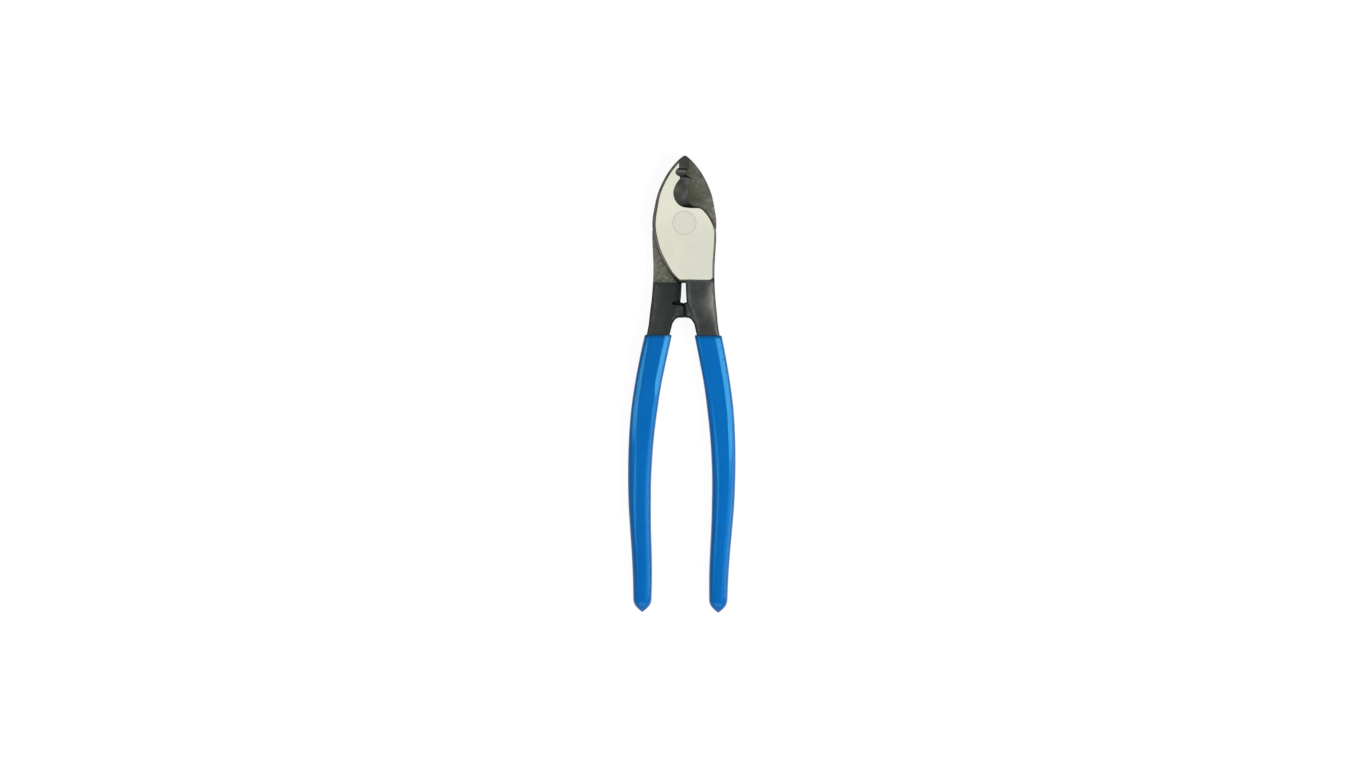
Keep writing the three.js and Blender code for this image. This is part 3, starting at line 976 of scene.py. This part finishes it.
def rivet_mesh():
    """The rivet's outline turned round its axis."""
    slope = (HEAD_RADIUS - RIVET_RADIUS) / HEAD_DEPTH
    outline = [(0, LAND), (HEAD_RADIUS / 2, LAND), (HEAD_RADIUS - RING_EDGE, LAND)]
    outline.append((HEAD_RADIUS - slope * RING_EDGE, LAND - RING_EDGE))
    outline.append((RIVET_RADIUS, LAND - HEAD_DEPTH))
    outline += [(r, -z) for r, z in reversed(outline)]
    shape = bmesh.new()
    line = [shape.verts.new((r * MM, 0, (z + LAND) * MM)) for r, z in outline]
    geom = line + [shape.edges.new(pair) for pair in zip(line, line[1:])]
    round_axis = {"axis": (0, 0, 1), "cent": (0, 0, 0), "angle": 2 * math.pi}
    bmesh.ops.spin(shape, geom=geom, steps=RIVET_SIDES, **round_axis)
    bmesh.ops.remove_doubles(shape, verts=shape.verts[:], dist=MERGE)
    bmesh.ops.recalc_face_normals(shape, faces=shape.faces[:])
    mesh = bpy.data.meshes.new("rivet")
    shape.to_mesh(mesh)
    shape.free()
    return mesh


def rivet_steel():
    """Softer and a touch greyer than the land it was ground with."""
    made, tree, shader = material("rivet steel", Metallic=1.0)
    lines = noise(tree, *BELT)
    relief = bumps(tree, lines, RIVET_LINE_DEPTH)
    dress(tree, shader, shades(tree, lines, *RIVET_SHADES), lines, RIVET_ROUGH, relief)
    return made


rivet = added("rivet", rivet_mesh())
rivet.data.materials.append(rivet_steel())
finish_mesh(rivet.data)
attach(rivet, "rear")
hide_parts("pivot_rivet")

# -------- Grips --------
# Soft PVC that each handle is dipped in while hot: glossy, thin over the corners, with a
# rounded lip where it left the bath and a point at the end where the last drop ran off.

GRIP_SIDES = [  # distance below the rivet, inner edge, outer edge
    (57.2, 5.7, 19.8), (59.5, 6, 20.4), (72.1, 8.6, 23), (84.8, 11.1, 25.2), (97.3, 12.9, 26.9),
    (109.9, 14.4, 27.85), (122.5, 15.4, 28.25), (135.1, 15.9, 28.25), (147.7, 15.9, 27.85),
    (160.3, 15.7, 26.95), (172.9, 15.2, 25.95), (185.5, 14.9, 25.2), (198, 15.05, 24.8),
    (206, 15.35, 24.6),
]
GRIP_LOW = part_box("front_lever_grip")[0].y / MM
GRIP_HALF = 5.8
WALL = 0.8
LIP = 0.45
POINT = 7  # length of the point
POINT_POWER = 2.3  # and how blunt it is
DROP_RADIUS = 0.6
CORE_END = 0.6  # from the point to the bottom of the bore
CORE_POWER = 6  # of the section's superellipse, inside
FLAT_POWER = 4.2  # outside at the top, where the handle is flat
OVAL_POWER = 2.8  # outside at the end
OVAL_RUN = (80, 150)  # below the rivet, over which the section goes to oval
BORE_ROWS, LIP_ROWS, SIDE_ROWS, POINT_ROWS = 50, 10, 110, 24
SIDES = 128

# The flats under the vinyl, where the steel's corners were dressed: how deep, and the
# distances below the rivet over which each comes in and runs out.
FACET_TILT = math.radians(18)
FRONT_FLATS = [(0, (50, 60), (84, 91)), (0.22, (50, 60), (84, 150))]  # inner side, outer side
REAR_FLATS = [(0.22, (50, 60), (84, 91)), (0.18, (54, 92), (95, 140))]


def grip_rows():
    """Sections from inside the sleeve, round its lip and down its outside to the point.

    Each is (height along the tool, thinned by, share of the size, power)."""
    low, high = GRIP_LOW + POINT + CORE_END, GRIP_TOP - LIP
    rows = [(low, WALL, 0, CORE_POWER)]
    rows += [(y, WALL, 1, CORE_POWER) for y in np.linspace(low, high, BORE_ROWS)]
    for turn in np.linspace(math.pi, 0, LIP_ROWS + 2)[1:-1]:
        thinned = WALL / 2 * (1 - math.cos(turn))
        rows.append((high + LIP * math.sin(turn), thinned, 1, FLAT_POWER))
    for y in np.linspace(high, GRIP_LOW + POINT, SIDE_ROWS):
        rows.append((y, 0, 1, between(FLAT_POWER, OVAL_POWER, ease(-y, *OVAL_RUN))))
    for above in POINT * np.linspace(1, 0, POINT_ROWS + 1)[1:] ** 2:
        share = 1 - (1 - above / POINT) ** POINT_POWER
        drop = math.sqrt(max(0, 2 * DROP_RADIUS * above - above**2)) / GRIP_HALF
        rows.append((GRIP_LOW + above, 0, max(share, drop), OVAL_POWER))
    return rows


def grip_path(name, turn, flats):
    """A line of points down the grip, each with the size, power and flats of its section."""
    down, inner, outer = np.array(GRIP_SIDES).T
    inner, outer = [curve(list(zip(-down, side)))[::-1] for side in (inner, outer)]
    y, thinned, share, power = np.array(grip_rows()).T
    near, far = [np.interp(y, side[:, 0], side[:, 1]) for side in (inner, outer)]
    middle = turn * (near + far) / 2
    outside = power < CORE_POWER
    left, right = [deep * stretch(-y, *run) * outside for deep, *run in flats][::turn]
    mesh = bpy.data.meshes.new(name)
    points = np.column_stack([middle, y, np.full(len(y), LAND)]) * MM
    mesh.from_pydata(points.tolist(), [(i, i + 1) for i in range(len(points) - 1)], [])
    carry(mesh, "half_width", ((far - near) / 2 - thinned) * share * MM)
    carry(mesh, "half_height", (GRIP_HALF - thinned) * share * MM)
    carry(mesh, "power", power)
    carry(mesh, "left_cut", left * MM)
    carry(mesh, "right_cut", right * MM)
    return mesh


def sleeve_tree():
    """Sweeps a superellipse along a line of points that carry its size and power."""
    tree = bpy.data.node_groups.new("dipped sleeve", "GeometryNodeTree")
    sizes = {"Sides": "Int", "Tilt": "Float", "Merge": "Float"}
    for name, kind in {"Path": "Geometry", **sizes, "Vinyl": "Material"}.items():
        tree.interface.new_socket(name, in_out="INPUT", socket_type="NodeSocket" + kind)
    tree.interface.new_socket("Sleeve", in_out="OUTPUT", socket_type="NodeSocketGeometry")
    given = node(tree, "NodeGroupInput").outputs
    operations = ("ADD", "SUBTRACT", "MULTIPLY", "DIVIDE", "POWER")
    plus, minus, times, over, raised = [partial(maths, tree, name) for name in operations]

    def geometry(kind, **named):
        """What a geometry node makes."""
        return node(tree, "GeometryNode" + kind, **named).outputs[0]

    # A grid with a row for each point of the path, and its columns round the section.
    rows = node(tree, "GeometryNodeAttributeDomainSize", Geometry=given["Path"])
    across = plus(given["Sides"], 1)
    grid = geometry("MeshGrid", Vertices_X=rows.outputs["Point Count"], Vertices_Y=across)
    index = geometry("InputIndex")
    row = maths(tree, "FLOOR", over(plus(index, 0.5), across))
    column = minus(index, times(row, across))
    angle = times(over(column, given["Sides"]), 2 * math.pi)

    def at_row(value, kind="FLOAT"):
        """The path's value at the point that the row stands for."""
        source = {"Geometry": given["Path"], "Value": value, "Index": row}
        return geometry("SampleIndex", settings={"data_type": kind}, **source)

    def of_path(name):
        """A value of that name there."""
        return at_row(geometry("InputNamedAttribute", Name=name))

    power, half_width, half_height = map(of_path, ("power", "half_width", "half_height"))
    cosine, sine = maths(tree, "COSINE", angle), maths(tree, "SINE", angle)
    right, up = maths(tree, "SIGN", cosine), maths(tree, "SIGN", sine)

    def spread(turn, half):
        """How far out the section reaches, from the sine or cosine of the angle."""
        share = raised(maths(tree, "ABSOLUTE", turn), over(2.0, power))
        return times(share, half)

    out, high = spread(cosine, half_width), spread(sine, half_height)

    # How far each point stands beyond the flat at its corner, along the flat's normal.
    lean_out, lean_up = maths(tree, "SINE", given["Tilt"]), maths(tree, "COSINE", given["Tilt"])
    dual = over(power, minus(power, 1.0))
    leans = ((lean_out, half_width), (lean_up, half_height))
    reach = [raised(times(lean, half), dual) for lean, half in leans]
    reach = raised(plus(*reach), over(1.0, dual))
    on_right = maths(tree, "GREATER_THAN", right, 0.0)
    right_cut = times(on_right, of_path("right_cut"))
    left_cut = times(minus(1.0, on_right), of_path("left_cut"))
    flat = minus(reach, plus(right_cut, left_cut))
    stands = plus(times(out, lean_out), times(high, lean_up))
    beyond = maths(tree, "MAXIMUM", minus(stands, flat), 0.0)
    out = minus(out, times(beyond, lean_out))
    high = minus(high, times(beyond, lean_up))
    x, z = times(out, right), times(high, up)
    section = node(tree, "ShaderNodeCombineXYZ", X=x, Z=z).outputs[0]
    middle = at_row(geometry("InputPosition"), "FLOAT_VECTOR")
    swept = node(tree, "ShaderNodeVectorMath", middle, section, settings={"operation": "ADD"})
    placed = geometry("SetPosition", Geometry=grid, Position=swept.outputs[0])
    closed = geometry("MergeByDistance", Geometry=placed, Distance=given["Merge"])
    smooth = geometry("SetShadeSmooth", Geometry=closed)
    real = geometry("RealizeInstances", Geometry=smooth)
    painted = geometry("SetMaterial", Geometry=real, Material=given["Vinyl"])
    node(tree, "NodeGroupOutput", painted)
    return tree


VINYL_SHADES = (0.3, (0.0, 0.0955, 0.35)), (0.7, (0.0, 0.1045, 0.368))
VINYL_TINT = (0.2, 0.82, 1, 1)
# painted shade along the rolled lip
LIP_SHADE_BLUE = (0.004, 0.03, 0.1)
LIP_SHADE_RUN = (2.2, 0.1)  # below the grip's top, over which the painted shade comes in
VINYL_CLOUDS = (45, 2, 0.5)
RIPPLE = (40, 1, 0.4)
RIPPLE_DEPTH = 0.04


def blue_vinyl():
    """Blue PVC with a slight ripple in its gloss, and painted shade along the lip."""
    gloss = {"Roughness": 0.12, "Specular_IOR_Level": 0.25, "Specular_Tint": VINYL_TINT}
    made, tree, shader = material("blue vinyl", **gloss)
    tone = shades(tree, noise(tree, *VINYL_CLOUDS), *VINYL_SHADES)
    start, end = [(GRIP_TOP - below) * MM for below in LIP_SHADE_RUN]
    lip = ranged(tree, part_of(tree, place(tree), "Y"), From_Min=start, From_Max=end)
    feed(tree, shader.inputs["Base Color"], mixed(tree, lip, tone, LIP_SHADE_BLUE))
    ripple = bumps(tree, noise(tree, *RIPPLE), RIPPLE_DEPTH)
    feed(tree, shader.inputs["Normal"], ripple)
    return made


sleeve = sleeve_tree()
SLEEVE_INPUTS = {"Sides": SIDES, "Tilt": FACET_TILT, "Merge": MERGE, "Vinyl": blue_vinyl()}


def grip(name, turn, flats):
    """One grip as a plain mesh; turn is -1 for the handle on the left."""
    piece = added(name, grip_path(name, turn, flats))
    dip = piece.modifiers.new("dip", "NODES")
    dip.node_group = sleeve
    for item in sleeve.interface.items_tree:
        if item.name in SLEEVE_INPUTS:
            dip[item.identifier] = SLEEVE_INPUTS[item.name]
    evaluated = piece.evaluated_get(bpy.context.evaluated_depsgraph_get())
    piece.data = bpy.data.meshes.new_from_object(evaluated)
    piece.modifiers.clear()
    return piece


front_grip = grip("front_handle_vinyl", 1, FRONT_FLATS)
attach(front_grip, "front")
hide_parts("front_lever_grip")

rear_grip = grip("rear_handle_vinyl", -1, REAR_FLATS)
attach(rear_grip, "rear")
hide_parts("rear_lever_grip")

# -------- Floor and light --------
# A white table in a white room, with six soft boxes turned to the tool: two each high on
# its left and its right, one beyond its foot and one low on its right.

FLOOR_SIZE = 3000
FLOOR_GAP = 0.2
FLOOR_GREY = (0.14, 0.14, 0.14, 1)
FLOOR_LIFT = 0.9  # near the tool, where the table keeps its shadow
LIFT_RUN = (0.13, 0.3)  # from the tool's middle, over which the lift grows to plain white
TOOL_MIDDLE = Vector((0, -0.085, 0))
ROOM_LIGHT = 0.32
WHITE = (1, 1, 1, 1)
SOFT_BOXES = {  # middle, width of its level side, height of its leaning side, brightness
    "right": ((0.205, -0.07, 0.287), 0.12, 0.1125, 13),
    "left": ((-0.2, -0.0645, 0.287), 0.09, 0.05, 13),
    "left_strip": ((-0.155, -0.16, 0.287), 0.035, 0.2, 6),
    "long_right": ((0.2, -0.2, 0.287), 0.18, 0.13, 2.4),
    "foot": ((0, -0.5, 0.2), 0.35, 0.28, 2.7),
    "low_right": ((0.42, -0.14, 0.11), 0.18, 0.35, 5),
}


def seen_by(tree, *rays):
    """1 for rays of the named kinds."""
    paths, seen = node(tree, "ShaderNodeLightPath"), 0.0
    for ray in rays:
        seen = maths(tree, "MAXIMUM", seen, paths.outputs[ray])
    return seen


def white_table():
    """Keeps a faint shadow near the tool, and glows plain white further off."""
    looks = {"Base_Color": FLOOR_GREY, "Emission_Color": WHITE, "Specular_IOR_Level": 0.0}
    made, tree, shader = material("white table", Roughness=0.9, **looks)
    settings = {"operation": "DISTANCE"}
    away = node(tree, "ShaderNodeVectorMath", place(tree), TOOL_MIDDLE, settings=settings)
    start, end = LIFT_RUN
    away = away.outputs["Value"]
    lift = ranged(tree, away, From_Min=start, From_Max=end, To_Min=FLOOR_LIFT)
    seen = seen_by(tree, "Is Camera Ray", "Is Glossy Ray")
    feed(tree, shader.inputs["Emission Strength"], maths(tree, "MULTIPLY", seen, lift))
    return made


table_mesh = bpy.data.meshes.new("table")
half, level = FLOOR_SIZE * MM, cad_box[0].z - FLOOR_GAP * MM
corners = [(x * half, y * half, level) for x, y in ((-1, -1), (1, -1), (1, 1), (-1, 1))]
table_mesh.from_pydata(corners, [], [(0, 1, 2, 3)])
table_mesh.materials.append(white_table())
table = added("table", table_mesh)

room = bpy.data.worlds.new("room")
room.use_nodes = True
bpy.context.scene.world = room
background = room.node_tree.nodes["Background"]
background.inputs["Color"].default_value = WHITE
seen = seen_by(room.node_tree, "Is Camera Ray", "Is Glossy Ray", "Is Transmission Ray")
strength = maths(room.node_tree, "MULTIPLY_ADD", seen, 1 - ROOM_LIGHT, ROOM_LIGHT)
feed(room.node_tree, background.inputs["Strength"], strength)

for name, (middle, width, height, brightness) in SOFT_BOXES.items():
    lamp = bpy.data.lights.new(name + "_soft_box", "AREA")
    lamp.shape = "RECTANGLE"
    lamp.size, lamp.size_y = width, height
    lamp.energy = brightness * math.pi * width * height
    box = added(name + "_soft_box", lamp)
    box.location = middle
    box.rotation_euler = (TOOL_MIDDLE - Vector(middle)).to_track_quat("-Z", "Y").to_euler()
    box.visible_camera = False

bpy.context.scene.view_settings.view_transform = "Standard"
